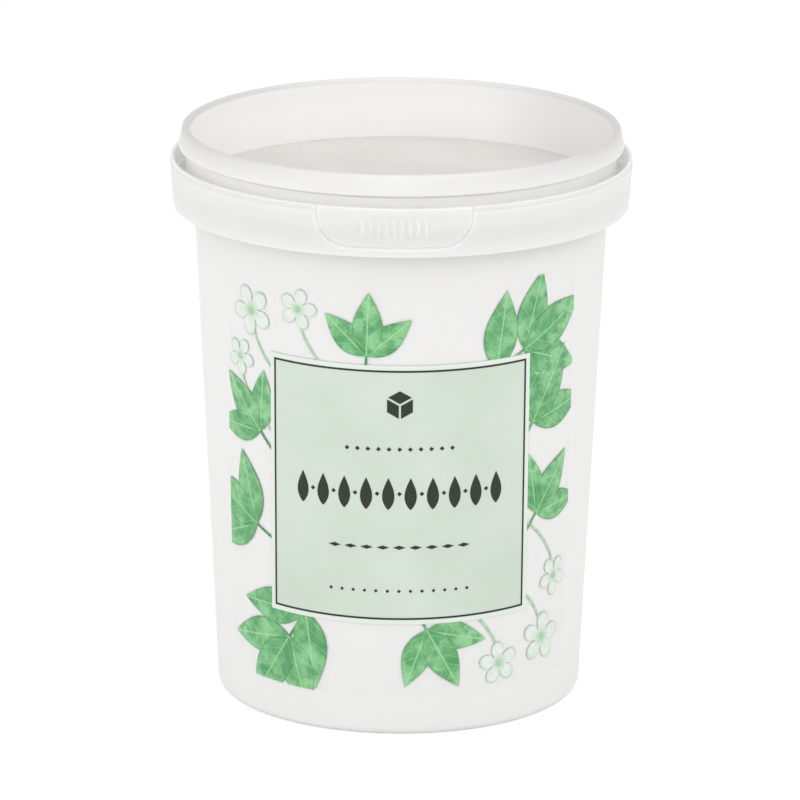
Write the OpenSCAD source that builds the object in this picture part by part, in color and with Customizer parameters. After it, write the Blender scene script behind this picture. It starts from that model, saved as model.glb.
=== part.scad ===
// Open plastic tub of dishwasher salt with a tamper collar and a printed clear label.
// Millimetres. The origin is on the table under the tub's axis, and the label faces -Y.

/* [Tub body] */
// Height of the tub from the table to the rim
tub_h = 119.2; // [112:0.1:135]
// Outer radius of the wall where it would meet the table
base_r = 37.5; // [34:0.1:40]
// Outer radius of the wall just under the collar
shoulder_r = 42.4; // [39:0.1:46]
// Thickness of the wall
wall_t = 0.75; // [0.6:0.05:1.4]
// Thickness of the floor
floor_t = 1.0; // [0.8:0.1:2]
// Rounding of the outer corner at the table
base_round = 2.2; // [1:0.1:3]
// Height of the hollow under the floor
foot_h = 1.0; // [0.6:0.1:1.6]
// Width of the ring that the tub stands on
foot_w = 2.2; // [1.5:0.1:4]

/* [Neck and rim] */
// How far the neck stands out from the wall under the collar
neck_out = 1.7; // [1.2:0.05:2.5]
// Thickness of the neck
neck_t = 0.85; // [0.6:0.05:1.1]
// Width of the rim's top
rim_w = 1.7; // [1.3:0.05:2.2]
// Rounding of the rim's top edges
rim_round = 0.6; // [0.3:0.05:0.8]
// How far the snap bead stands out from the rim
bead_out = 0.65; // [0.4:0.05:1]
// Depth of the bead below the rim
bead_drop = 3.7; // [3:0.1:4.5]
// Rounding of the bead
bead_round = 0.55; // [0.3:0.05:0.7]

/* [Collar] */
// Width of the gutter between the neck and the collar
gutter_w = 2.4; // [1.8:0.1:4]
// Depth of the gutter below the collar's top
gutter_d = 4.0; // [2:0.1:5]
// Thickness of the collar wall
collar_t = 1.0; // [0.8:0.05:1.2]
// How far the collar draws in from its top to its bottom
collar_draft = 0.8; // [0.2:0.05:1]
// Depth of the collar's top below the rim
collar_drop = 6.05; // [5:0.05:8]
// Height of the collar
collar_h = 10.25; // [8.5:0.05:13]
// Thickness of the web that joins the collar to the neck
web_t = 0.9; // [0.7:0.05:1.2]
// Height of the stepped band along the collar's top edge
step_h = 1.2; // [0.8:0.1:2]
// Depth of the stepped band
step_d = 0.3; // [0.15:0.05:0.4]

/* [Tear tab] */
// Width of the tab between its grooves
tab_w = 31.5; // [24:0.5:38]
// Place of the tab's centre to the right of the front
tab_x = -1.3; // [-4:0.1:4]
// Radius of the tab's lower corners
tab_round = 6.2; // [4:0.1:7]
// Height of the groove's bottom above the collar's lower edge
tab_lift = 2.0; // [1.5:0.1:2.5]
// Width of the tear groove
groove_w = 0.7; // [0.4:0.05:1]
// Depth of the tear groove
groove_d = 0.4; // [0.2:0.05:0.5]
// Number of grip ribs on the tab
rib_n = 9; // [5:1:11]
// Spacing of the grip ribs
rib_pitch = 1.6; // [1.2:0.1:2]
// Width of a grip rib
rib_w = 0.6; // [0.4:0.05:0.8]
// Height of the grip ribs
rib_h = 3.4; // [2:0.1:4]
// How far the grip ribs stand out
rib_d = 0.2; // [0.1:0.05:0.3]

/* [Salt] */
// Depth of the salt's surface below the rim
salt_drop = 12.6; // [9:0.1:40]
// Rise of the salt's surface towards its middle
salt_crown = 0.7; // [0.2:0.1:3]
// Space between the salt and the wall
salt_gap = 0.05; // [0.02:0.01:0.1]

/* [Label] */
// Width of the label around the tub
label_w = 83; // [70:0.5:84]
// Height of the label
label_h = 86.8; // [75:0.1:88]
// Height of the label's lower edge up the front of the wall
label_z = 8.5; // [5:0.1:9]
// Thickness of the label film
film_t = 0.1; // [0.06:0.01:0.15]
// Thickness of a printed field
ink_t = 0.05; // [0.03:0.01:0.08]
// Space between the wall, the film and the printed fields
layer_gap = 0.01; // [0.01:0.005:0.02]

/* [Printed panel] */
// Width of the printed panel
panel_w = 56.4; // [50:0.2:60]
// Height of the printed panel
panel_h = 55.1; // [50:0.1:58]
// Height of the panel's lower edge above the label's
panel_rise = 15.8; // [12:0.1:17]
// Distance from the panel's edge to its frame line
frame_inset = 1.0; // [0.6:0.1:2]
// Width of the frame line
frame_line = 0.4; // [0.3:0.05:0.8]
// Width of the row of dark leaf shapes across the panel
row_w = 45; // [38:0.5:48]
// Height of that row
row_h = 6.8; // [4:0.1:8]
// Width of the crystal figure near the panel's top
crystal_w = 5.6; // [4:0.1:7]

/* [Printed plants] */
// Length of a leaf
leaf_l = 18.5; // [12:0.1:20]
// Width of a leaf
leaf_w = 8.6; // [5:0.1:9.5]
// Spacing of the leaf pairs along a sprig
pair_pitch = 7.4; // [5:0.1:9]
// Radius of a large blossom
blossom_r = 5.4; // [3:0.1:6]
// Width of a stem
stem_w = 0.5; // [0.3:0.05:0.8]

/* [Hidden] */
$fn = 128;

// Radii of the neck, the rim and the collar, each from the one inside it
neck_r = shoulder_r + neck_out;
mouth_r = neck_r - neck_t;
rim_r = mouth_r + rim_w;
bead_r = rim_r + bead_out;
collar_r = neck_r + gutter_w + collar_t;
collar_low_r = collar_r - collar_draft;

// Heights
collar_top = tub_h - collar_drop;
collar_z0 = collar_top - collar_h;
gutter_z = collar_top - gutter_d;
web_z = gutter_z - web_t;
neck_z = collar_z0 + 2 * neck_out;
floor_z = foot_h + floor_t;
salt_z = tub_h - salt_drop;
bead_z = tub_h - bead_drop;
panel_z = label_z + panel_rise;
panel_mid = panel_z + panel_h / 2;

// Slope of the wall and its angle
wall_slope = (shoulder_r - base_r) / collar_z0;
taper = atan(wall_slope);

// Small sizes of the tub
inner_round = 2.0;
edge_round = 0.35;
bead_foot = 1.6 * bead_round;
bead_low_a = -60;
bead_high_a = 10;
inner_low_a = -20;

// Heights of the printed layers above the wall
ink_lift = 2 * layer_gap + film_t;
over_lift = ink_lift + ink_t + layer_gap;

// Panel's ornaments: the leaf row, the crystal, and rows of diamonds, each with its share
// of the panel's height, its number, its spacing, and the width and height of a diamond
row_n = 10;
row_pitch = row_w / row_n;
row_leaf_w = 0.55 * row_pitch;
small = row_h / 7;
leaf_row_share = 0.508;
leaf_row_z = panel_z + leaf_row_share * panel_h;
crystal_z = panel_z + 0.85 * panel_h;
crystal_r = crystal_w / sqrt(3);
face_share = 0.84;
diamond_rows = [
    [0.68, 11, 2.2 * small, small, small],
    [leaf_row_share, row_n - 1, row_pitch, small, small],
    [0.30, 9, 3.4 * small, 2.6 * small, 0.9 * small],
    [0.13, 13, 2.4 * small, 0.8 * small, 0.8 * small]];

// Forms of the printed plants
leaf_belly = 0.8;
leaf_spread = 48;
side_leaf = 0.9;
petal_n = 5;
petal_waist = 0.34;
petal_belly = 0.6;
heart_share = 0.17;
stem_sway = 13;
stem_rise = 17;

// Sprigs: place of the foot, heading, turn of the stem per pair, number of pairs, scale
sprigs = [
    [[14, 73], 42, -8, 2, 1.0],
    [[25.5, 58.5], 44, 14, 1, 0.95],
    [[27, 40], 30, 22, 1, 0.8],
    [[-15, 31], -138, 8, 2, 1.0],
    [[-26, 38.5], -215, 10, 1, 0.95],
    [[-27, 57.5], -210, -16, 1, 0.8],
    [[-7, 76], 74, 14, 1, 0.72],
    [[3, 28], -76, 14, 1, 0.78]];

// Blossoms: place, scale, turn
blossoms = [
    [[-33.5, 87], 1.0, 10],
    [[-21.5, 89.5], 0.8, 40],
    [[-37, 76.5], 0.75, 25],
    [[33, 17], 1.0, 190],
    [[21.5, 14], 0.85, 60],
    [[36.5, 29.5], 0.8, 15]];

// Numbers of points along drawn lines, and how far cutting shapes reach past a surface
leaf_steps = 9;
petal_steps = 7;
stem_steps = 8;
crown_steps = 6;
side_steps = 4;
heart_steps = 10;
proud = 2;

// Radius of the tub's outer wall at height z
function wall_r(z) = base_r + z * wall_slope;
// Radius of the tub's inner wall at height z, below the collar
function inner_r(z) = wall_r(z) - wall_t;
// Radius of the tub's inside at height z, up to the rim
function inside_r(z) = z < collar_z0 ? inner_r(z) :
    let(t = min(1, (z - collar_z0) / (neck_z - collar_z0)))
    inner_r(collar_z0) * (1 - t) + mouth_r * t;
// Radius of the collar's inner face at height z
function skirt_r(z) = collar_low_r - collar_t + (z - collar_z0) * collar_draft / collar_h;
// Points of an arc about a centre, from angle a0 to a1
function arc(c, r, a0, a1, n = 6) =
    [for (i = [0:n]) let(a = a0 + (a1 - a0) * i / n) [c[0] + r * cos(a), c[1] + r * sin(a)]];
// Place across the front at which a point of the flat label comes to lie
function wrap_x(u, v) = let(r = wall_r(v)) r * sin(u / r * 180 / PI);
// A flat outline as it lies around the wall
function wrapped(pts) = [for (p = pts) [wrap_x(p[0], p[1]), p[1]]];
// An outline turned by an angle and set at a place
function placed(pts, at, turn) =
    [for (p = pts) [at[0] + p[0] * cos(turn) - p[1] * sin(turn),
                    at[1] + p[0] * sin(turn) + p[1] * cos(turn)]];

// Outline of the tub's section, from the middle of the floor outwards and back inside
function tub_section() = concat(
    [[0, foot_h],
     [base_r - base_round - foot_w - foot_h, foot_h],
     [base_r - base_round - foot_w, 0]],
    arc([wall_r(base_round) - base_round, base_round], base_round, -90, -taper),
    [[shoulder_r, collar_z0],
     [neck_r, neck_z],
     [neck_r, web_z],
     [skirt_r(web_z), web_z]],
    arc([collar_low_r - collar_t + edge_round, collar_z0 + edge_round], edge_round, 180, 270, 4),
    arc([collar_low_r - edge_round, collar_z0 + edge_round], edge_round, -90, 0, 4),
    arc([collar_r - edge_round, collar_top - edge_round], edge_round, 0, 90, 4),
    arc([collar_r - collar_t + edge_round, collar_top - edge_round], edge_round, 90, 180, 4),
    [[skirt_r(gutter_z), gutter_z],
     [neck_r, gutter_z],
     [neck_r, bead_z - bead_foot]],
    arc([bead_r - bead_round, bead_z], bead_round, bead_low_a, bead_high_a),
    arc([rim_r - rim_round, tub_h - rim_round], rim_round, bead_high_a, 90, 4),
    arc([mouth_r + rim_round, tub_h - rim_round], rim_round, 90, 180, 4),
    [[mouth_r, neck_z],
     [inner_r(collar_z0), collar_z0],
     [inner_r(floor_z + inner_round), floor_z + inner_round]],
    arc([inner_r(floor_z + inner_round) - inner_round, floor_z + inner_round],
        inner_round, inner_low_a, -90, 4),
    [[0, floor_z]]);

// Flat outline of the U that the tear groove follows, grown outwards by a distance
function tab_outline(grow) = let(
        half = tab_w / 2 + grow,
        r = tab_round + grow,
        low = collar_z0 + tab_lift - grow)
    concat([[-half, collar_top + proud]],
           arc([-half + r, low + r], r, 180, 270, 8),
           arc([half - r, low + r], r, 270, 360, 8),
           [[half, collar_top + proud]]);

// Skin of the collar, from a depth below its face to a height above it
module collar_skin(depth, out) {
    rotate_extrude()
        polygon([[collar_low_r - depth, collar_z0],
                 [collar_low_r + out, collar_z0],
                 [collar_r + out, collar_top],
                 [collar_r - depth, collar_top]]);
}

// A shape drawn on the front of the collar, cut through the collar in the middle of the tab
module on_tab() {
    translate([tab_x, 0, 0])
        rotate([90, 0, 0])
            linear_extrude(collar_r + proud)
                children();
}

module tear_groove() {
    intersection() {
        collar_skin(groove_d, proud);
        on_tab()
            difference() {
                polygon(tab_outline(groove_w / 2));
                polygon(tab_outline(-groove_w / 2));
            }
    }
}

// The band along the collar's top edge is set back, apart from the tab
module top_step() {
    difference() {
        rotate_extrude()
            translate([collar_r - step_d, collar_top - step_h])
                square([step_d + proud, step_h + proud]);
        on_tab()
            translate([-tab_w / 2, collar_z0])
                square([tab_w, collar_h + 2 * proud]);
    }
}

module grip_ribs() {
    rib_z = collar_z0 + tab_lift + (collar_h - tab_lift - rib_h) / 2;
    intersection() {
        collar_skin(collar_t / 2, rib_d);
        on_tab()
            for (i = [0:rib_n - 1])
                translate([(i - (rib_n - 1) / 2) * rib_pitch - rib_w / 2, rib_z])
                    square([rib_w, rib_h]);
    }
}

module tub() {
    color([0.93, 0.93, 0.93, 0.6])
        union() {
            difference() {
                rotate_extrude()
                    polygon(tub_section());
                tear_groove();
                top_step();
            }
            grip_ribs();
        }
}

// The salt fills the tub up to its surface, a small space clear of the wall
module salt() {
    low = floor_z + inner_round;
    g = salt_gap;
    color([0.86, 0.85, 0.84])
        rotate_extrude()
            polygon(concat(
                [[0, floor_z + g],
                 [inner_r(low) - inner_round, floor_z + g],
                 [inner_r(low) - g, low + g]],
                [for (z = [collar_z0, neck_z])
                    if (z < salt_z) [inside_r(z) - g, z]],
                [for (i = [0:crown_steps]) let(t = i / crown_steps)
                    [(inside_r(salt_z) - g) * (1 - t), salt_z + salt_crown * t * (2 - t)]]));
}

// A thin skin around the wall, from a height above it and as thick as given
module wall_skin(lift, thick) {
    top = collar_z0 - layer_gap;
    rotate_extrude()
        polygon([[wall_r(base_round) + lift, base_round],
                 [wall_r(base_round) + lift + thick, base_round],
                 [wall_r(top) + lift + thick, top],
                 [wall_r(top) + lift, top]]);
}

// What is drawn flat, with heights up the front, laid on the wall as a skin
module on_wall(lift, thick) {
    intersection() {
        wall_skin(lift, thick);
        translate([0, -base_r, 0])
            rotate([taper, 0, 0])
                translate([0, base_r, 0])
                    rotate([90, 0, 0])
                        linear_extrude(base_r + proud)
                            children();
    }
}

// Corners of a flat rectangle on the label, with points along its sides
function field(w, h, z0) = wrapped(concat(
    [for (i = [0:side_steps]) [-w / 2, z0 + h * i / side_steps]],
    [for (i = [side_steps:-1:0]) [w / 2, z0 + h * i / side_steps]]));

module label_area() {
    polygon(field(label_w, label_h, label_z));
}

module panel_area(inset = 0) {
    polygon(field(panel_w - 2 * inset, panel_h - 2 * inset, panel_z + inset));
}

module label_film() {
    color([0.97, 0.97, 0.97, 0.4])
        on_wall(layer_gap, film_t)
            label_area();
}

module printed_panel() {
    color([0.82, 0.87, 0.82])
        on_wall(ink_lift, ink_t)
            panel_area();
}

// Outline of a leaf that is pointed at both ends, with its stalk end at the origin
function leaf_outline(l, w) = concat(
    [for (i = [0:leaf_steps]) let(t = i / leaf_steps)
        [l * t, w / 2 * sin(180 * pow(t, leaf_belly))]],
    [for (i = [leaf_steps - 1:-1:1]) let(t = i / leaf_steps)
        [l * t, -w / 2 * sin(180 * pow(t, leaf_belly))]]);

// A diamond about the origin
function diamond(w, h) = [[w / 2, 0], [0, h / 2], [-w / 2, 0], [0, -h / 2]];

// Three faces of a cube seen along its corner
module crystal() {
    face = diamond(crystal_r * face_share, crystal_w * face_share);
    for (turn = [90, 210, 330])
        polygon(wrapped(placed(placed(face, [crystal_r / 2, 0], 0), [0, crystal_z], turn)));
}

// A row of like outlines, centred on the panel
module row(n, pitch, z, pts) {
    for (i = [0:n - 1])
        polygon(wrapped(placed(pts, [(i - (n - 1) / 2) * pitch, z], 0)));
}

module printed_frame() {
    color([0.12, 0.14, 0.11])
        on_wall(over_lift, ink_t)
            union() {
                difference() {
                    panel_area(frame_inset);
                    panel_area(frame_inset + frame_line);
                }
                crystal();
                row(row_n, row_pitch, leaf_row_z - row_h / 2,
                    placed(leaf_outline(row_h, row_leaf_w), [0, 0], 90));
                for (d = diamond_rows)
                    row(d[1], d[2], panel_z + d[0] * panel_h, diamond(d[3], d[4]));
            }
}

// Place and heading of a sprig's stem after a number of pairs
function sprig_at(s, k) = k == 0 ? [s[0][0], s[0][1], s[1]] :
    let(p = sprig_at(s, k - 1), a = p[2] + s[2], d = pair_pitch * s[4])
    [p[0] + d * cos(a), p[1] + d * sin(a), a];

module leaf(at, heading, scale) {
    polygon(wrapped(placed(leaf_outline(leaf_l * scale, leaf_w * scale), [at[0], at[1]], heading)));
}

// A stem of even width through a list of points
module strip(pts, w) {
    for (i = [0:len(pts) - 2])
        let(a = pts[i], b = pts[i + 1], d = (b - a) / norm(b - a), n = [-d[1], d[0]] * w / 2, e = d * w / 4)
        polygon(wrapped([a - n - e, b - n + e, b + n + e, a + n - e]));
}

module sprig(s) {
    strip([for (k = [0:s[3]]) [sprig_at(s, k)[0], sprig_at(s, k)[1]]], stem_w);
    for (k = [1:s[3]])
        let(p = sprig_at(s, k)) {
            leaf(p, p[2] + leaf_spread, s[4] * side_leaf);
            leaf(p, p[2] - leaf_spread, s[4] * side_leaf);
        }
    leaf(sprig_at(s, s[3]), sprig_at(s, s[3])[2], s[4]);
}

module leaf_area() {
    for (s = sprigs)
        sprig(s);
}

// Reach of a petal at an angle from the line between two petals
function petal_reach(a) = petal_waist + (1 - petal_waist) * pow(abs(sin(a * petal_n / 2)), petal_belly);

// Outline of a blossom about the origin
function blossom_outline(r) = let(n = petal_n * petal_steps)
    [for (i = [0:n - 1]) let(a = 360 * i / n) r * petal_reach(a) * [cos(a), sin(a)]];

module blossom_area() {
    for (b = blossoms)
        polygon(wrapped(placed(blossom_outline(blossom_r * b[1]), b[0], b[2])));
}

// Points of a blossom's stem, which bends from the blossom towards the panel
function blossom_stem(b) = let(side = b[0][0] < 0 ? 1 : -1, up = b[0][1] < panel_mid ? 1 : -1)
    [for (i = [0:stem_steps]) let(t = i / stem_steps)
        b[0] + [side * stem_sway * t * t, up * stem_rise * t]];

module heart_dots() {
    for (b = blossoms)
        polygon(wrapped(placed(arc([0, 0], heart_share * blossom_r * b[1], 0,
                                   360 - 360 / heart_steps, heart_steps - 1), b[0], 0)));
}

// What is printed outside the panel, kept inside the label's edges
module around_panel() {
    difference() {
        intersection() {
            label_area();
            children();
        }
        panel_area(-layer_gap);
    }
}

module printed_leaves() {
    color([0.51, 0.72, 0.53])
        on_wall(ink_lift, ink_t)
            around_panel()
                leaf_area();
}

module printed_blossoms() {
    color([0.85, 0.89, 0.85])
        on_wall(ink_lift, ink_t)
            around_panel()
                difference() {
                    blossom_area();
                    leaf_area();
                    heart_dots();
                }
}

module printed_stems() {
    color([0.72, 0.83, 0.72])
        on_wall(ink_lift, ink_t)
            around_panel()
                difference() {
                    union() {
                        for (b = blossoms)
                            strip(blossom_stem(b), stem_w);
                        heart_dots();
                    }
                    leaf_area();
                    difference() {
                        blossom_area();
                        heart_dots();
                    }
                }
}

tub();
salt();
label_film();
printed_panel();
printed_frame();
printed_leaves();
printed_blossoms();
printed_stems();
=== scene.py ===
"""Open plastic tub of dishwasher salt, with tamper collar and printed label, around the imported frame."""
import math

import bmesh
import bpy
import numpy as np
from mathutils import Matrix, Vector, noise


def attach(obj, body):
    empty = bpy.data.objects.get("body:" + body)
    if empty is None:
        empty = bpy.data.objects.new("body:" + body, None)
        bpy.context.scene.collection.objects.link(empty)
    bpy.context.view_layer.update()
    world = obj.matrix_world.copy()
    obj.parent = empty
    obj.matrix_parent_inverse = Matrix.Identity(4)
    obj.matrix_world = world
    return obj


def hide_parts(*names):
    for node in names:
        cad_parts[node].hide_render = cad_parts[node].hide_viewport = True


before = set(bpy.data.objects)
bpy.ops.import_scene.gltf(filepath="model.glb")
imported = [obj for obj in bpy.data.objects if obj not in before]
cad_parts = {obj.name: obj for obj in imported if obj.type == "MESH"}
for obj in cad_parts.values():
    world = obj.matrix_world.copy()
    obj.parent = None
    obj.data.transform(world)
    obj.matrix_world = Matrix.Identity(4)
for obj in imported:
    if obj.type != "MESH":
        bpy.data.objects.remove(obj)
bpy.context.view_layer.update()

MM = 0.001

# Tub: sizes in millimetres, as in the part's source
TUB_H = 119.2
BASE_R, SHOULDER_R = 37.5, 42.4
WALL_T, FLOOR_T = 0.75, 1.0
BASE_ROUND, INNER_ROUND = 2.2, 2.0
FOOT_H, FOOT_W = 1.0, 2.2
MOUTH_R, NECK_R, RIM_R, RIM_ROUND = 43.25, 44.1, 44.95, 0.6
BEAD_R, BEAD_DROP, BEAD_ROUND = 45.6, 3.7, 0.55
COLLAR_R, COLLAR_LOW_R, COLLAR_T = 47.5, 46.7, 1.0
COLLAR_DROP, COLLAR_H, WEB_T = 6.05, 10.25, 0.9
GUTTER_D, NECK_RISE = 4.0, 3.4
STEP_H, STEP_D = 1.2, 0.3
EDGE_ROUND = 0.35
TAB_W, TAB_X, TAB_ROUND, TAB_LIFT = 31.5, -1.3, 6.2, 2.0
GROOVE_W, GROOVE_D = 0.7, 0.4
RIB_N, RIB_PITCH, RIB_W, RIB_H, RIB_D = 9, 1.6, 0.6, 3.4, 0.2
SALT_DROP, SALT_CROWN, SALT_GAP = 12.6, 0.7, 0.05
HEAP_W, HEAP_H, CRUMB_W, CRUMB_H = 22, 0.35, 0.9, 0.07

COLLAR_TOP = TUB_H - COLLAR_DROP
COLLAR_Z0 = COLLAR_TOP - COLLAR_H
GUTTER_Z = COLLAR_TOP - GUTTER_D
WEB_Z = GUTTER_Z - WEB_T
NECK_Z = COLLAR_Z0 + NECK_RISE
WALL_SLOPE = (SHOULDER_R - BASE_R) / COLLAR_Z0
TAPER = math.atan(WALL_SLOPE)
FLOOR_Z = FOOT_H + FLOOR_T
SALT_Z = TUB_H - SALT_DROP
BEAD_Z = TUB_H - BEAD_DROP

# Lightness of the plastic as a share from its dark to its light tone, and how much painted shade
# lowers it on the rim's thick edge at the sides, on the collar's face and on the right side of the inner
# wall
PLASTIC_SHADE = 0.56
RIM_PAINTED_SHADE, COLLAR_PAINTED_SHADE, INNER_SIDE_PAINTED_SHADE = 0.5, 0.12, 0.45
# How many millimetres light travels in the wall, and in the collar, which stands free of the salt
WALL_DEPTH, COLLAR_DEPTH = 0.5, 3.0

# Label and print
LABEL_W, LABEL_H, LABEL_Z = 83.0, 86.8, 8.5
FILM_T, INK_T, LAYER_GAP, CELL = 0.1, 0.05, 0.01, 0.9
PANEL_W, PANEL_H, PANEL_RISE = 56.4, 55.1, 15.8
FRAME_INSET, FRAME_LINE = 1.0, 0.4
ROW_W, ROW_H, CRYSTAL_W = 45.0, 6.8, 5.6
LEAF_L, LEAF_W, PAIR_PITCH = 18.5, 8.6, 7.4
LEAF_BELLY, LEAF_SPREAD, SIDE_LEAF, LEAF_STEP = 0.8, 48, 0.9, 0.002
BLOSSOM_R, PETAL_N = 5.4, 5
PETAL_WAIST, PETAL_BELLY, HEART_SHARE = 0.34, 0.6, 0.17
STEM_W, STEM_IN, STEM_UP, STEM_SINK = 0.5, 13, 17, 0.004
LEAF_ROW_N, LEAF_ROW_SHARE, LEAF_ROW_FILL = 10, 0.508, 0.55
CRYSTAL_SHARE, FACE_SHARE = 0.85, 0.84
PANEL_Z = LABEL_Z + PANEL_RISE
PANEL_MID = PANEL_Z + PANEL_H / 2
INK_LIFT = 2 * LAYER_GAP + FILM_T
OVER_LIFT = INK_LIFT + INK_T + LAYER_GAP

# Camera as fitted to the photograph: distance and height in metres, angles in radians
CAM_BACK, CAM_UP = 1.3, 0.42236
CAM_PITCH, CAM_ROLL = 0.2713, 0.0055
CAM_LENS, CAM_SENSOR = 293.3, 36.0


def wall_r(z):
    return BASE_R + z * WALL_SLOPE


def inner_r(z):
    return wall_r(z) - WALL_T


def skirt_r(z):
    return COLLAR_LOW_R - COLLAR_T + (z - COLLAR_Z0) * (COLLAR_R - COLLAR_LOW_R) / COLLAR_H


def arc(centre, r, a0, a1, n):
    angles = np.radians(np.linspace(a0, a1, n + 1))
    return [(centre[0] + r * math.cos(a), centre[1] + r * math.sin(a)) for a in angles]


def line(a, b, n):
    """Points from a towards b, without b."""
    return [(a[0] + (b[0] - a[0]) * i / n, a[1] + (b[1] - a[1]) * i / n) for i in range(n)]


def smooth_step(x):
    x = np.clip(x, 0, 1)
    return x * x * (3 - 2 * x)


def finish_mesh(name, mesh, angle):
    mesh.shade_smooth()
    mesh.set_sharp_from_angle(angle=math.radians(angle))
    obj = bpy.data.objects.new(name, mesh)
    bpy.context.scene.collection.objects.link(obj)
    return obj


def skin(name, rings, low, high, angle):
    """A closed mesh of rings around the axis, drawn in to a point at the heights low and high."""
    n, m = rings.shape[:2]
    around = [(j, (j + 1) % m) for j in range(m)]
    faces = [(i + j, i + k, i + m + k, i + m + j) for i in range(0, (n - 1) * m, m) for j, k in around]
    faces += [(n * m, k, j) for j, k in around]
    faces += [(n * m + 1, (n - 1) * m + j, (n - 1) * m + k) for j, k in around]
    places = [*rings.reshape(-1, 3), (0, 0, low), (0, 0, high)]
    mesh = bpy.data.meshes.new(name)
    mesh.from_pydata([Vector(v) * MM for v in places], [], faces)
    mesh.validate()
    return finish_mesh(name, mesh, angle)


def dress(obj, node, material):
    obj.data.materials.clear()
    obj.data.materials.append(material)
    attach(obj, "root")
    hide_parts(node)


# Shader helpers
def new_material(name):
    mat = bpy.data.materials.new(name)
    mat.use_nodes = True
    tree = mat.node_tree
    tree.nodes.clear()
    out = tree.nodes.new("ShaderNodeOutputMaterial")
    return mat, tree, out


def srgb(r, g, b):
    """A colour given as 0 to 255 screen values, as the linear colour that a shader takes."""
    def linear(c):
        c = c / 255
        return c / 12.92 if c <= 0.04045 else ((c + 0.055) / 1.055) ** 2.4
    return (linear(r), linear(g), linear(b), 1)


def node(tree, kind, **sets):
    made = tree.nodes.new(kind)
    for key, value in sets.items():
        setattr(made, key, value)
    return made


def math_node(tree, op, a, b=None):
    made = node(tree, "ShaderNodeMath", operation=op)
    for i, v in enumerate((a, b)):
        if v is None:
            continue
        if isinstance(v, (int, float)):
            made.inputs[i].default_value = v
        else:
            tree.links.new(v, made.inputs[i])
    return made.outputs[0]


def ramp(tree, value, low, high, to_low=0.0, to_high=1.0):
    made = node(tree, "ShaderNodeMapRange", interpolation_type="SMOOTHSTEP")
    tree.links.new(value, made.inputs["Value"])
    for key, v in (("From Min", low), ("From Max", high), ("To Min", to_low), ("To Max", to_high)):
        made.inputs[key].default_value = v
    return made.outputs[0]


def mix_colour(tree, fac, a, b):
    made = node(tree, "ShaderNodeMix", data_type="RGBA")
    for socket, v in ((made.inputs[0], fac), (made.inputs[6], a), (made.inputs[7], b)):
        if isinstance(v, (tuple, int, float)):
            socket.default_value = v
        else:
            tree.links.new(v, socket)
    return made.outputs[2]


def noise_at(tree, scale, detail=4.0, rough=0.55, vector=None):
    made = node(tree, "ShaderNodeTexNoise")
    made.inputs["Scale"].default_value = scale
    made.inputs["Detail"].default_value = detail
    made.inputs["Roughness"].default_value = rough
    if vector is None:
        vector = node(tree, "ShaderNodeTexCoord").outputs["Object"]
    tree.links.new(vector, made.inputs["Vector"])
    return made.outputs["Fac"]


def bump(tree, height, strength, distance):
    made = node(tree, "ShaderNodeBump")
    made.inputs["Strength"].default_value = strength
    made.inputs["Distance"].default_value = distance
    tree.links.new(height, made.inputs["Height"])
    return made.outputs["Normal"]


def uv(tree, name):
    return node(tree, "ShaderNodeUVMap", uv_map=name).outputs["UV"]


def parts(tree, vector):
    """The outputs X, Y and Z of a vector."""
    made = node(tree, "ShaderNodeSeparateXYZ")
    tree.links.new(vector, made.inputs[0])
    return made.outputs


def stripes(tree, value, per_unit):
    """0 on evenly spaced lines across a value, rising to 0.5 halfway between them."""
    turn = math_node(tree, "FRACT", math_node(tree, "MULTIPLY", value, per_unit))
    return math_node(tree, "ABSOLUTE", math_node(tree, "SUBTRACT", turn, 0.5))


def plastic_material():
    """Milky natural polypropylene: light enters the thin wall, scatters and leaves on either side."""
    mat, tree, out = new_material("natural_polypropylene")
    shell = node(tree, "ShaderNodeBsdfPrincipled")
    # The map shade carries the plastic's tone with painted light and painted shade in it, and how far
    # light travels in the wall
    shade = parts(tree, uv(tree, "shade"))
    tone = mix_colour(tree, shade["X"], (0.6, 0.593, 0.589, 1), (0.99, 0.99, 0.99, 1))
    tree.links.new(tone, shell.inputs["Base Color"])
    shell.inputs["Subsurface Weight"].default_value = 1.0
    shell.inputs["Subsurface Radius"].default_value = (1.0, 0.99, 0.98)
    tree.links.new(math_node(tree, "MULTIPLY", shade["Y"], MM), shell.inputs["Subsurface Scale"])
    shell.inputs["IOR"].default_value = 1.45
    shell.inputs["Roughness"].default_value = 0.3
    tree.links.new(bump(tree, noise_at(tree, 45, 2), 0.15, 0.0004), shell.inputs["Normal"])
    tree.links.new(shell.outputs[0], out.inputs["Surface"])
    return mat


def salt_material():
    """Fine damp-looking grains, with a few larger crystals that catch the light."""
    mat, tree, out = new_material("salt_grains")
    body = node(tree, "ShaderNodeBsdfPrincipled")
    coords = node(tree, "ShaderNodeTexCoord").outputs["Object"]
    grains = node(tree, "ShaderNodeTexVoronoi", feature="F1")
    grains.inputs["Scale"].default_value = 2300
    tree.links.new(coords, grains.inputs["Vector"])
    broad = noise_at(tree, 45, 5)
    tone = mix_colour(tree, ramp(tree, broad, 0.3, 0.7), srgb(221, 217, 213), srgb(229, 226, 223))
    speck = ramp(tree, grains.outputs["Color"], 0.72, 0.95, 0.0, 0.3)
    tone = mix_colour(tree, speck, tone, srgb(243, 242, 241))
    tree.links.new(tone, body.inputs["Base Color"])
    body.inputs["Roughness"].default_value = 0.62
    body.inputs["Specular IOR Level"].default_value = 0.35
    height = math_node(tree, "ADD", grains.outputs["Distance"], math_node(tree, "MULTIPLY", broad, 1.5))
    tree.links.new(bump(tree, height, 0.3, 0.0003), body.inputs["Normal"])
    tree.links.new(body.outputs[0], out.inputs["Surface"])
    return mat


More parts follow.
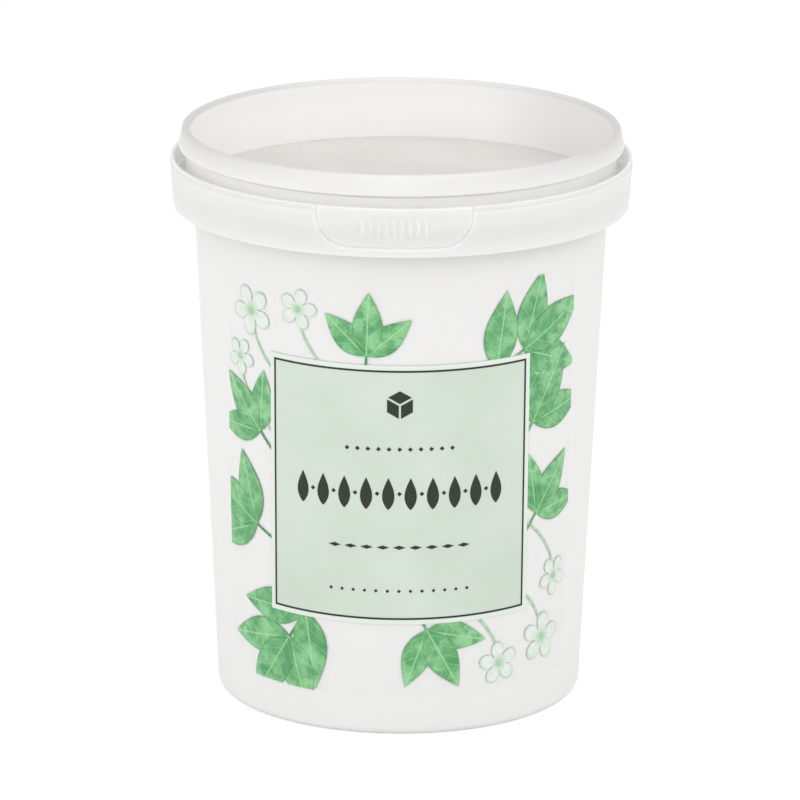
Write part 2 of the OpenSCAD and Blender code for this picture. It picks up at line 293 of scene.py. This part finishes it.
def film_material():
    """Clear film: it shows only as a soft sheen and a faint edge."""
    mat, tree, out = new_material("clear_film")
    film = node(tree, "ShaderNodeBsdfPrincipled")
    film.inputs["Base Color"].default_value = (0.95, 0.95, 0.95, 1)
    film.inputs["Roughness"].default_value = 0.3
    film.inputs["Alpha"].default_value = 0.03
    tree.links.new(bump(tree, noise_at(tree, 120), 0.12, 0.0002), film.inputs["Normal"])
    tree.links.new(film.outputs[0], out.inputs["Surface"])
    return mat


def ink(name, colour_of):
    """A printed field under a satin varnish, whose colour is worked out by colour_of(tree, flat)."""
    mat, tree, out = new_material(name)
    body = node(tree, "ShaderNodeBsdfPrincipled")
    tree.links.new(colour_of(tree, uv(tree, "flat")), body.inputs["Base Color"])
    body.inputs["Roughness"].default_value = 0.36
    body.inputs["Specular IOR Level"].default_value = 0.4
    tree.links.new(bump(tree, noise_at(tree, 120), 0.1, 0.0002), body.inputs["Normal"])
    tree.links.new(body.outputs[0], out.inputs["Surface"])
    return mat


def panel_colour(tree, flat):
    """Pale green wash that turns a little greyer and lighter in soft clouds, with a paler margin."""
    broad = noise_at(tree, 0.05, 3, 0.5, flat)
    base = mix_colour(tree, ramp(tree, broad, 0.35, 0.65), srgb(200, 213, 199), srgb(207, 219, 206))
    paper = noise_at(tree, 3.0, 4, 0.6, flat)
    base = mix_colour(tree, ramp(tree, paper, 0.35, 0.7, 0.0, 0.25), base, srgb(217, 227, 216))
    at = parts(tree, flat)
    across = math_node(tree, "SUBTRACT", math_node(tree, "ABSOLUTE", at["X"]), PANEL_W / 2)
    up = math_node(tree, "ABSOLUTE", math_node(tree, "SUBTRACT", at["Y"], PANEL_MID))
    edge = math_node(tree, "MAXIMUM", across, math_node(tree, "SUBTRACT", up, PANEL_H / 2))
    margin = ramp(tree, edge, -FRAME_INSET - 0.1, -FRAME_INSET + 0.1, 0.0, 0.85)
    return mix_colour(tree, margin, base, srgb(226, 234, 226))


def dark_colour(tree, flat):
    cloud = ramp(tree, noise_at(tree, 2.5, 3, 0.6, flat), 0.4, 0.7)
    return mix_colour(tree, cloud, srgb(30, 38, 28), srgb(52, 58, 48))


def leaf_colour(tree, flat):
    """Watercolour green: washes along the leaf, light veins, darker pooled edge and fine grain."""
    along = parts(tree, uv(tree, "leaf"))
    share = parts(tree, uv(tree, "share"))
    side = math_node(tree, "ABSOLUTE", along["Y"])
    edge = math_node(tree, "ABSOLUTE", share["Y"])
    tipward = math_node(tree, "MULTIPLY", share["X"], 0.22)
    wash = math_node(tree, "ADD", noise_at(tree, 0.22, 4, 0.55, flat), tipward)
    base = mix_colour(tree, ramp(tree, wash, 0.42, 0.78), srgb(78, 157, 94), srgb(144, 203, 147))
    cool = ramp(tree, noise_at(tree, 0.35, 3, 0.5, flat), 0.48, 0.64, 0.0, 0.7)
    base = mix_colour(tree, cool, base, srgb(60, 141, 86))
    grain = ramp(tree, noise_at(tree, 5.0, 5, 0.75, flat), 0.42, 0.62, 0.0, 0.22)
    base = mix_colour(tree, grain, base, srgb(154, 206, 154))
    pooled = ramp(tree, edge, 0.86, 1.0, 0.0, 0.55)
    base = mix_colour(tree, pooled, base, srgb(58, 130, 80))
    rib = ramp(tree, side, 0.10, 0.20, 0.8, 0.0)
    base = mix_colour(tree, rib, base, srgb(160, 213, 157))
    slant = math_node(tree, "SUBTRACT", along["X"], math_node(tree, "MULTIPLY", side, 0.9))
    vein = ramp(tree, stripes(tree, slant, 0.42), 0.02, 0.055, 0.45, 0.0)
    return mix_colour(tree, vein, base, srgb(160, 216, 158))


def petal_colour(tree, flat):
    """Very pale wash, greener towards the middle and in thin lines, with a soft grey-green outline."""
    share = parts(tree, uv(tree, "share"))
    edge = math_node(tree, "ABSOLUTE", share["Y"])
    cloud = ramp(tree, noise_at(tree, 0.5, 4, 0.6, flat), 0.35, 0.7)
    base = mix_colour(tree, cloud, srgb(219, 229, 219), srgb(232, 236, 231))
    base = mix_colour(tree, ramp(tree, share["X"], 0.1, 0.55, 0.75, 0.0), base, srgb(178, 207, 178))
    lines = ramp(tree, stripes(tree, share["Y"], 2.5), 0.03, 0.12, 0.3, 0.0)
    base = mix_colour(tree, lines, base, srgb(188, 208, 188))
    rim = math_node(tree, "MAXIMUM", edge, share["X"])
    return mix_colour(tree, ramp(tree, rim, 0.86, 1.0, 0.0, 0.8), base, srgb(186, 203, 188))


def stem_colour(tree, flat):
    cloud = ramp(tree, noise_at(tree, 0.8, 3, 0.6, flat), 0.35, 0.7)
    return mix_colour(tree, cloud, srgb(158, 200, 160), srgb(192, 219, 190))


# Tub: one closed skin, turned from its section, with the tab worked into the collar's face
def tub_section():
    """Outline as (r, z) points, from the axis below the floor to the axis above it, and named runs."""
    foot_r = BASE_R - BASE_ROUND - FOOT_W
    low, high = COLLAR_Z0 + EDGE_ROUND, COLLAR_TOP - EDGE_ROUND
    outer = (
        line((0, FOOT_H), (foot_r - FOOT_H, FOOT_H), 6)[1:]
        + [(foot_r - FOOT_H, FOOT_H), (foot_r, 0)]
        + arc((wall_r(BASE_ROUND) - BASE_ROUND, BASE_ROUND), BASE_ROUND, -90, -math.degrees(TAPER), 12)
        + line((wall_r(BASE_ROUND + 0.5), BASE_ROUND + 0.5), (SHOULDER_R, COLLAR_Z0), 30)
        + line((SHOULDER_R, COLLAR_Z0), (NECK_R, NECK_Z), 3)
        + [(NECK_R, NECK_Z), (NECK_R, WEB_Z), (skirt_r(WEB_Z), WEB_Z)]
        + arc((COLLAR_LOW_R - COLLAR_T + EDGE_ROUND, low), EDGE_ROUND, 180, 270, 5)
        + arc((COLLAR_LOW_R - EDGE_ROUND, low), EDGE_ROUND, -90, 0, 5)[:-1])
    face = line((COLLAR_LOW_R, low), (COLLAR_R, high), 56) + [(COLLAR_R, high)]
    top_edge = arc((COLLAR_R - EDGE_ROUND, high), EDGE_ROUND, 0, 90, 6)[1:]
    inner_edge = arc((COLLAR_R - COLLAR_T + EDGE_ROUND, high), EDGE_ROUND, 90, 180, 5)
    bevel = 0.2
    under_bead = BEAD_Z - 1.6 * BEAD_ROUND
    gutter = inner_edge[1:] + [
        (skirt_r(GUTTER_Z) - 0.01, GUTTER_Z + bevel), (skirt_r(GUTTER_Z) - bevel, GUTTER_Z),
        (NECK_R + bevel, GUTTER_Z), (NECK_R, GUTTER_Z + bevel), (NECK_R, under_bead - 0.3)]
    rim = (
        [(NECK_R + 0.08, under_bead)]
        + arc((BEAD_R - BEAD_ROUND, BEAD_Z), BEAD_ROUND, -60, 10, 8)
        + arc((RIM_R - RIM_ROUND, TUB_H - RIM_ROUND), RIM_ROUND, 10, 90, 8)
        + arc((MOUTH_R + RIM_ROUND, TUB_H - RIM_ROUND), RIM_ROUND, 90, 180, 8))
    wall_low = FLOOR_Z + INNER_ROUND
    inside = (
        line((MOUTH_R, TUB_H - 2 * RIM_ROUND), (MOUTH_R, NECK_Z), 8)
        + line((MOUTH_R, NECK_Z), (inner_r(COLLAR_Z0), COLLAR_Z0), 3)
        + line((inner_r(COLLAR_Z0), COLLAR_Z0), (inner_r(wall_low), wall_low), 20)
        + arc((inner_r(wall_low) - INNER_ROUND, wall_low), INNER_ROUND, -3, -90, 8)
        + line((30, FLOOR_Z), (0, FLOOR_Z), 5))
    names = ("face", "edge", "gutter", "rim", "inside")
    parts_in_turn = (outer, face, top_edge + inner_edge[:1], gutter, rim, inside)
    ends = np.cumsum([len(part) for part in parts_in_turn])
    return sum(parts_in_turn, []), {name: slice(a, b) for name, a, b in zip(names, ends, ends[1:])}


def tab_distance(x, z):
    """Distance outwards from the U line of the tear groove, for places on the collar's face."""
    half, r, low = TAB_W / 2, TAB_ROUND, COLLAR_Z0 + TAB_LIFT
    dx = np.abs(x) - (half - r)
    dz = (low + r) - z
    outside = np.hypot(np.maximum(dx, 0), np.maximum(dz, 0))
    inside = np.minimum(np.maximum(dx, dz), 0)
    return outside + inside - r


def face_shift(angle, z):
    """How far the collar's face moves out, in millimetres, at an angle from the front and a height."""
    x = COLLAR_R * np.sin(angle) - TAB_X
    front = np.cos(angle) > 0
    d = tab_distance(x, z)
    groove = -GROOVE_D * smooth_step(1.25 - np.abs(d) / (GROOVE_W / 2)) * front
    beyond = smooth_step((np.abs(x) - TAB_W / 2) / 0.5 + 0.5)
    beyond = np.where(front, beyond, 1.0)
    step = -STEP_D * smooth_step((z - (COLLAR_TOP - STEP_H)) / 0.35 + 0.5) * beyond
    rib_z = COLLAR_Z0 + TAB_LIFT + (COLLAR_H - TAB_LIFT) / 2
    near = np.round(x / RIB_PITCH)
    across = smooth_step((RIB_W / 2 - np.abs(x - near * RIB_PITCH)) / 0.3 + 0.5)
    up = smooth_step((RIB_H / 2 - np.abs(z - rib_z)) / 0.4 + 0.5)
    rib = RIB_D * across * up * (np.abs(near) <= (RIB_N - 1) / 2) * front
    return groove + step + rib


def make_tub():
    """The angles lie closer around the tab, and the face's shape fades out over the edge above it."""
    section, runs = tub_section()
    tab_mid = math.asin(TAB_X / COLLAR_R)
    fine = np.radians(np.linspace(-24, 24, 201)) + tab_mid
    coarse = np.linspace(fine[-1], fine[0] + 2 * math.pi, 200)[1:-1]
    angles = np.concatenate([fine, coarse])
    r, z = (np.array([[c] * len(angles) for c in column]) for column in zip(*section))
    face = runs["face"]
    r[face] += face_shift(angles, z[face])
    top = face.stop - 1
    for i in range(1, 5):
        r[top + i] += face_shift(angles, z[top]) * (1 - i / 5)
    x = r * np.sin(angles)
    y = -r * np.cos(angles)
    obj = skin("tub_shell", np.stack([x, y, z], -1), FOOT_H, FLOOR_Z, 35)
    shade, depth = plastic_shade(z, angles, runs)
    per_vertex = np.stack([shade.ravel(), depth.ravel()], -1)
    per_vertex = np.concatenate([per_vertex, per_vertex[:1], per_vertex[-1:]])
    layer = obj.data.uv_layers.new(name="shade")
    at = np.zeros(len(obj.data.loops), dtype=int)
    obj.data.loops.foreach_get("vertex_index", at)
    layer.data.foreach_set("uv", per_vertex[at].ravel().astype(np.float32))
    return obj


def plastic_shade(z, angles, runs):
    """Lightness of the plastic, and how many millimetres light travels in it.

    It has painted light inside above the salt, in the tear groove and in the gutter, in place of light
    that reaches them through the wall from both sides, and painted shade on the rim's thick edge at the
    sides, on the collar's face and on the right side of the inner wall.
    """
    shade = np.full(z.shape, PLASTIC_SHADE)
    inside, face, gutter = runs["inside"], runs["face"], runs["gutter"]
    # Painted light on the inner wall above the salt, and painted shade on its right side
    shaded_side = smooth_step((np.sin(angles) - 0.1) / 0.8)
    shade[inside] = np.where(z[inside] > SALT_Z - 2, 1 - INNER_SIDE_PAINTED_SHADE * shaded_side, PLASTIC_SHADE)
    # Painted shade on the rim's thick edge, growing towards the sides
    side = np.abs(np.sin(angles)) ** 1.5
    shade -= RIM_PAINTED_SHADE * side * smooth_step((z - (TUB_H - 0.9)) / 0.6)
    x = COLLAR_R * np.sin(angles) - TAB_X
    # Painted light along the tear groove's U line, and painted shade over the whole collar face
    groove = smooth_step(1.6 - np.abs(tab_distance(x, z[face])) / (GROOVE_W / 2)) * (np.cos(angles) > 0)
    shade[face] += (1 - PLASTIC_SHADE) * groove - COLLAR_PAINTED_SHADE
    # Painted light in the gutter's recess
    shade[gutter] = 1
    depth = np.full(z.shape, WALL_DEPTH)
    depth[face.start:gutter.stop] = COLLAR_DEPTH
    return shade, depth


def salt_height(x, y, top_r):
    """Height of the salt's surface: low heaps and crumbs that slump a little at the wall."""
    r = math.hypot(x, y)
    base = SALT_Z + SALT_CROWN * (1 - (r / top_r) ** 2)
    heap = noise.fractal(Vector((x / HEAP_W, y / HEAP_W, 3.1)), 1.0, 2.0, 4) * HEAP_H
    crumb = noise.noise(Vector((x / CRUMB_W, y / CRUMB_W, 7.7))) * CRUMB_H
    return base + (heap - 0.3) * min(1.0, (top_r - r) / 4) + crumb


def make_salt():
    low = FLOOR_Z + INNER_ROUND
    g = SALT_GAP
    top_r = MOUTH_R - g
    side = ([(inner_r(low) - INNER_ROUND, FLOOR_Z + g)]
            + line((inner_r(low) - g, low + g), (inner_r(COLLAR_Z0) - g, COLLAR_Z0), 10)
            + [(inner_r(COLLAR_Z0) - g, COLLAR_Z0), (top_r, NECK_Z)])
    around = [(math.sin(a), -math.cos(a)) for a in np.linspace(0, 2 * math.pi, 320, endpoint=False)]
    rings = [[(r * x, r * y, z) for x, y in around] for r, z in side]
    for r in np.linspace(top_r, 0, 131)[:-1]:
        rings.append([(r * x, r * y, salt_height(r * x, r * y, top_r)) for x, y in around])
    return skin("salt_fill", np.array(rings), FLOOR_Z + g, salt_height(0, 0, top_r), 60)


# Label: flat drawings in (u, v) millimetres, u around the wall and v up its front
def wrap(u, v, lift):
    """Places on the wall of points of the flat label, as the part's source lays them."""
    r = wall_r(v)
    x = r * np.sin(u / r)
    behind = r * (1 - np.cos(u / r))
    for _ in range(5):
        z = behind * math.sin(TAPER) + v * math.cos(TAPER)
        radius = BASE_R + z * WALL_SLOPE
        y = -np.sqrt(np.maximum(radius ** 2 - x ** 2, 0))
        behind = (y + BASE_R + v * math.sin(TAPER)) / math.cos(TAPER)
    out = lift / radius
    return np.stack([x * (1 + out), y * (1 + out), z], -1)


class Drawing:
    """Flat patches that become one thin solid on the wall."""

    def __init__(self):
        self.bm = bmesh.new()
        self.flat = self.bm.loops.layers.uv.new("flat")
        self.leaf = self.bm.loops.layers.uv.new("leaf")
        self.share = self.bm.loops.layers.uv.new("share")

    def patch(self, points, own=None, share=None, lift=0.0):
        """points is an array of n by m places; own and share are drawn coordinates of each."""
        n, m = points.shape[:2]
        own = points if own is None else own
        share = points if share is None else share
        verts = [[self.bm.verts.new((*place, lift)) for place in row] for row in points]
        for i in range(n - 1):
            for j in range(m - 1):
                ring = ((i, j), (i + 1, j), (i + 1, j + 1), (i, j + 1))
                face = self.bm.faces.new([verts[a][b] for a, b in ring])
                for loop, (a, b) in zip(face.loops, ring):
                    loop[self.flat].uv = points[a, b]
                    loop[self.leaf].uv = own[a, b]
                    loop[self.share].uv = share[a, b]

    def cut(self, u, v, across, clear=False):
        """Cuts along a line through a place; clear also takes away what lies beyond it."""
        geom = self.bm.verts[:] + self.bm.edges[:] + self.bm.faces[:]
        bmesh.ops.bisect_plane(self.bm, geom=geom, plane_co=(u, v, 0), plane_no=(*across, 0),
                               clear_outer=clear, dist=1e-5)

    def trim(self):
        """Cuts away what lies outside the label or inside the panel."""
        half, top = LABEL_W / 2, LABEL_Z + LABEL_H
        for u, v, out in ((half, 0, (1, 0)), (-half, 0, (-1, 0)), (0, top, (0, 1)), (0, LABEL_Z, (0, -1))):
            self.cut(u, v, out, clear=True)
        side, low, high = PANEL_W / 2, PANEL_Z, PANEL_Z + PANEL_H
        for u, v, across in ((side, 0, (1, 0)), (-side, 0, (1, 0)), (0, low, (0, 1)), (0, high, (0, 1))):
            self.cut(u, v, across)
        inside = [f for f in self.bm.faces
                  if abs(f.calc_center_median().x) < side and low < f.calc_center_median().y < high]
        bmesh.ops.delete(self.bm, geom=inside, context="FACES")

    def solid(self, name, lift, thick):
        """The patches as closed thin solids on the wall."""
        bm = self.bm
        bmesh.ops.remove_doubles(bm, verts=bm.verts[:], dist=1e-3)
        made = bmesh.ops.extrude_face_region(bm, geom=bm.faces[:], use_keep_orig=True)
        for v in made["geom"]:
            if isinstance(v, bmesh.types.BMVert):
                v.co.z += thick
        bmesh.ops.recalc_face_normals(bm, faces=bm.faces[:])
        mesh = bpy.data.meshes.new(name)
        bm.to_mesh(mesh)
        bm.free()
        co = np.zeros(len(mesh.vertices) * 3)
        mesh.vertices.foreach_get("co", co)
        co = co.reshape(-1, 3)
        placed = wrap(co[:, 0], co[:, 1], co[:, 2] + lift) * MM
        mesh.vertices.foreach_set("co", placed.ravel())
        mesh.update()
        return finish_mesh(name, mesh, 50)


def grid(u0, u1, v0, v1):
    """A field in cells small enough to lie on the round wall."""
    n = max(1, math.ceil((u1 - u0) / CELL))
    m = max(1, math.ceil((v1 - v0) / CELL))
    u, v = np.meshgrid(np.linspace(u0, u1, n + 1), np.linspace(v0, v1, m + 1), indexing="ij")
    return np.stack([u, v], -1)


def turned(points, at, degrees):
    a = math.radians(degrees)
    c, s = math.cos(a), math.sin(a)
    x, y = points[..., 0], points[..., 1]
    return np.stack([at[0] + x * c - y * s, at[1] + x * s + y * c], -1)


def leaf_patch(l, w):
    """A pointed leaf along the first axis: its places, and its shares along and across."""
    t, s = np.meshgrid(np.linspace(0, 1, 25), np.linspace(-1, 1, 11), indexing="ij")
    half = np.maximum(w / 2 * np.sin(np.pi * t ** LEAF_BELLY), 1e-3)
    return np.stack([l * t, half * s], -1), np.stack([t, s], -1)


def diamond_patch(w, h):
    a, b = np.meshgrid(np.linspace(-0.5, 0.5, 5), np.linspace(-0.5, 0.5, 5), indexing="ij")
    return np.stack([(a + b) * w / 2, (a - b) * h / 2], -1)


def strip_patch(points, w):
    """A stem of even width along a list of points."""
    p = np.array(points, float)
    d = np.gradient(p, axis=0)
    d /= np.linalg.norm(d, axis=1)[:, None]
    n = np.stack([-d[:, 1], d[:, 0]], -1)
    s = np.linspace(-0.5, 0.5, 3)
    return p[:, None, :] + n[:, None, :] * s[None, :, None] * w


# Print: the same layout as in the part's source. A sprig has its place, heading, turn at each pair
# of leaves, number of pairs and scale; a blossom its place, scale and turn
SPRIGS = (
    ((14, 73), 42, -8, 2, 1.0),
    ((25.5, 58.5), 44, 14, 1, 0.95),
    ((27, 40), 30, 22, 1, 0.8),
    ((-15, 31), -138, 8, 2, 1.0),
    ((-26, 38.5), -215, 10, 1, 0.95),
    ((-27, 57.5), -210, -16, 1, 0.8),
    ((-7, 76), 74, 14, 1, 0.72),
    ((3, 28), -76, 14, 1, 0.78))
BLOSSOMS = (
    ((-33.5, 87), 1.0, 10),
    ((-21.5, 89.5), 0.8, 40),
    ((-37, 76.5), 0.75, 25),
    ((33, 17), 1.0, 190),
    ((21.5, 14), 0.85, 60),
    ((36.5, 29.5), 0.8, 15))


def sprig_at(sprig, k):
    (x, y), heading, turn, _, scale = sprig
    for _ in range(k):
        heading += turn
        x += PAIR_PITCH * scale * math.cos(math.radians(heading))
        y += PAIR_PITCH * scale * math.sin(math.radians(heading))
    return x, y, heading


def make_leaves():
    """Each leaf lies a hair above the one before it, so that they overlap cleanly."""
    drawing = Drawing()
    lift = 0.0
    for sprig in SPRIGS:
        pairs, scale = sprig[3], sprig[4]
        knots = [sprig_at(sprig, k) for k in range(pairs + 1)]
        stem = [place for a, b in zip(knots, knots[1:]) for place in line(a, b, 6)] + [knots[-1][:2]]
        drawing.patch(strip_patch(stem, STEM_W), lift=lift)
        leaves = [(k, side * LEAF_SPREAD, SIDE_LEAF) for k in range(1, pairs + 1) for side in (1, -1)]
        for k, turn, share in leaves + [(pairs, 0, 1.0)]:
            lift += LEAF_STEP
            x, y, heading = knots[k]
            places, shares = leaf_patch(LEAF_L * scale * share, LEAF_W * scale * share)
            drawing.patch(turned(places, (x, y), heading + turn), places, shares, lift)
    drawing.trim()
    return drawing.solid("leaf_print", INK_LIFT, INK_T)


def petal_patch(r):
    """A petal along the first axis, from the heart out: its places, and its shares along and across."""
    t, s = np.meshgrid(np.linspace(HEART_SHARE, 1, 11), np.linspace(-1, 1, 11), indexing="ij")
    spread = math.pi / PETAL_N * s
    reach = PETAL_WAIST + (1 - PETAL_WAIST) * np.abs(np.cos(spread * PETAL_N / 2)) ** PETAL_BELLY
    rad = r * (HEART_SHARE + (reach - HEART_SHARE) * (t - HEART_SHARE) / (1 - HEART_SHARE))
    return np.stack([rad * np.cos(spread), rad * np.sin(spread)], -1), np.stack([t, s], -1)


def make_blossoms():
    drawing = Drawing()
    for at, scale, turn in BLOSSOMS:
        places, shares = petal_patch(BLOSSOM_R * scale)
        for i in range(PETAL_N):
            drawing.patch(turned(places, at, turn + 360 / PETAL_N * (i + 0.5)), places, shares)
    drawing.trim()
    return drawing.solid("blossom_print", INK_LIFT, INK_T)


def make_stems():
    """A bent stem for each blossom, towards the panel, and the dot in the blossom's middle."""
    drawing = Drawing()
    for at, scale, _ in BLOSSOMS:
        side = 1 if at[0] < 0 else -1
        up = 1 if at[1] < PANEL_MID else -1
        t = np.linspace(0.12, 1, 24)
        stem = np.stack([at[0] + side * STEM_IN * t * t, at[1] + up * STEM_UP * t], -1)
        drawing.patch(strip_patch(stem, STEM_W))
        a, b = np.meshgrid(np.linspace(0.01, 1, 5), np.linspace(0, 2 * math.pi, 25), indexing="ij")
        dot = HEART_SHARE * BLOSSOM_R * scale * a
        drawing.patch(np.stack([at[0] + dot * np.cos(b), at[1] + dot * np.sin(b)], -1))
    drawing.trim()
    return drawing.solid("stem_print", INK_LIFT - STEM_SINK, INK_T)


def make_panel():
    drawing = Drawing()
    side = PANEL_W / 2
    drawing.patch(grid(-side, side, PANEL_Z, PANEL_Z + PANEL_H))
    return drawing.solid("panel_print", INK_LIFT, INK_T)


def make_film():
    drawing = Drawing()
    side = LABEL_W / 2
    drawing.patch(grid(-side, side, LABEL_Z, LABEL_Z + LABEL_H))
    return drawing.solid("film_skin", LAYER_GAP, FILM_T)


def make_frame():
    """The panel's dark line, the crystal of three faces, the row of leaves and the rows of diamonds."""
    drawing = Drawing()
    side, low, high = PANEL_W / 2 - FRAME_INSET, PANEL_Z + FRAME_INSET, PANEL_Z + PANEL_H - FRAME_INSET
    w = FRAME_LINE
    drawing.patch(grid(-side, side, low, low + w))
    drawing.patch(grid(-side, side, high - w, high))
    drawing.patch(grid(-side, -side + w, low + w, high - w))
    drawing.patch(grid(side - w, side, low + w, high - w))
    crystal_r = CRYSTAL_W / math.sqrt(3)
    face = diamond_patch(crystal_r * FACE_SHARE, CRYSTAL_W * FACE_SHARE) + (crystal_r / 2, 0)
    for turn in (90, 210, 330):
        drawing.patch(turned(face, (0, PANEL_Z + PANEL_H * CRYSTAL_SHARE), turn))
    small = ROW_H / 7
    pitch = ROW_W / LEAF_ROW_N
    leaf, _ = leaf_patch(ROW_H, pitch * LEAF_ROW_FILL)
    leaf = turned(leaf, (0, -ROW_H / 2), 90)
    for share, n, step, places in (
            (0.68, 11, 2.2 * small, diamond_patch(small, small)),
            (LEAF_ROW_SHARE, LEAF_ROW_N, pitch, leaf),
            (LEAF_ROW_SHARE, LEAF_ROW_N - 1, pitch, diamond_patch(small, small)),
            (0.30, 9, 3.4 * small, diamond_patch(2.6 * small, 0.9 * small)),
            (0.13, 13, 2.4 * small, diamond_patch(0.8 * small, 0.8 * small))):
        for i in range(n):
            drawing.patch(places + ((i - (n - 1) / 2) * step, PANEL_Z + PANEL_H * share))
    return drawing.solid("frame_print", OVER_LIFT, INK_T)


# Camera, floor and light
def make_camera():
    data = bpy.data.cameras.new("camera")
    data.lens = CAM_LENS
    data.sensor_width = CAM_SENSOR
    data.clip_end = 50
    cam = bpy.data.objects.new("camera", data)
    turn = Matrix.Rotation(math.pi / 2 - CAM_PITCH, 4, "X") @ Matrix.Rotation(CAM_ROLL, 4, "Z")
    cam.matrix_world = Matrix.Translation((0, -CAM_BACK, CAM_UP)) @ turn
    bpy.context.scene.collection.objects.link(cam)
    bpy.context.scene.camera = cam


def area_light(name, at, look, size, watts):
    data = bpy.data.lights.new(name, "AREA")
    data.shape = "RECTANGLE"
    data.size, data.size_y = size
    data.energy = watts
    obj = bpy.data.objects.new(name, data)
    to = (Vector(look) - Vector(at)).to_track_quat("-Z", "Y")
    obj.matrix_world = Matrix.Translation(at) @ to.to_matrix().to_4x4()
    bpy.context.scene.collection.objects.link(obj)


def make_world():
    """Dim white for the light that the room gives; white for what the camera and reflections see."""
    world = bpy.data.worlds.new("room")
    bpy.context.scene.world = world
    world.use_nodes = True
    tree = world.node_tree
    tree.nodes.clear()
    out = node(tree, "ShaderNodeOutputWorld")
    rays = node(tree, "ShaderNodeLightPath")
    seen = math_node(tree, "MAXIMUM", rays.outputs["Is Camera Ray"], rays.outputs["Is Transmission Ray"])
    seen = math_node(tree, "MAXIMUM", seen, rays.outputs["Is Glossy Ray"])
    room = node(tree, "ShaderNodeBackground")
    room.inputs["Color"].default_value = (1, 0.995, 0.992, 1)
    room.inputs["Strength"].default_value = 0.93
    white = node(tree, "ShaderNodeBackground")
    white.inputs["Strength"].default_value = 1.0
    both = node(tree, "ShaderNodeMixShader")
    tree.links.new(seen, both.inputs["Fac"])
    tree.links.new(room.outputs[0], both.inputs[1])
    tree.links.new(white.outputs[0], both.inputs[2])
    tree.links.new(both.outputs[0], out.inputs["Surface"])


def make_floor():
    """White sweep: part of what the camera sees is its own white, the rest keeps the shadow."""
    mat, tree, out = new_material("white_sweep")
    matte = node(tree, "ShaderNodeBsdfDiffuse")
    matte.inputs["Color"].default_value = (0.93, 0.93, 0.93, 1)
    white = node(tree, "ShaderNodeEmission")
    white.inputs["Strength"].default_value = 1.03
    both = node(tree, "ShaderNodeMixShader")
    rays = node(tree, "ShaderNodeLightPath")
    tree.links.new(math_node(tree, "MULTIPLY", rays.outputs["Is Camera Ray"], 0.9), both.inputs["Fac"])
    tree.links.new(matte.outputs[0], both.inputs[1])
    tree.links.new(white.outputs[0], both.inputs[2])
    tree.links.new(both.outputs[0], out.inputs["Surface"])
    size = 3.0
    corners = [(-size, -size, 0), (size, -size, 0), (size, size, 0), (-size, size, 0)]
    mesh = bpy.data.meshes.new("floor")
    mesh.from_pydata(corners, [], [(0, 1, 2, 3)])
    floor = bpy.data.objects.new("floor", mesh)
    bpy.context.scene.collection.objects.link(floor)
    floor.data.materials.append(mat)


make_camera()
make_world()
make_floor()
area_light("key_right", (0.75, -0.5, 0.7), (0, 0, 0.09), (0.5, 0.5), 1.1)
area_light("fill_left", (-1.0, -0.4, 0.3), (0, 0, 0.06), (0.7, 0.5), 1.0)
area_light("front", (-0.1, -0.9, 0.5), (0, 0, 0.11), (0.5, 0.5), 1.0)

dress(make_tub(), "tub", plastic_material())
dress(make_salt(), "salt", salt_material())
dress(make_film(), "label_film", film_material())
dress(make_panel(), "printed_panel", ink("panel_wash", panel_colour))
dress(make_frame(), "printed_frame", ink("dark_print", dark_colour))
dress(make_leaves(), "printed_leaves", ink("leaf_wash", leaf_colour))
dress(make_blossoms(), "printed_blossoms", ink("petal_wash", petal_colour))
dress(make_stems(), "printed_stems", ink("stem_wash", stem_colour))

bpy.context.scene.view_settings.view_transform = "Standard"
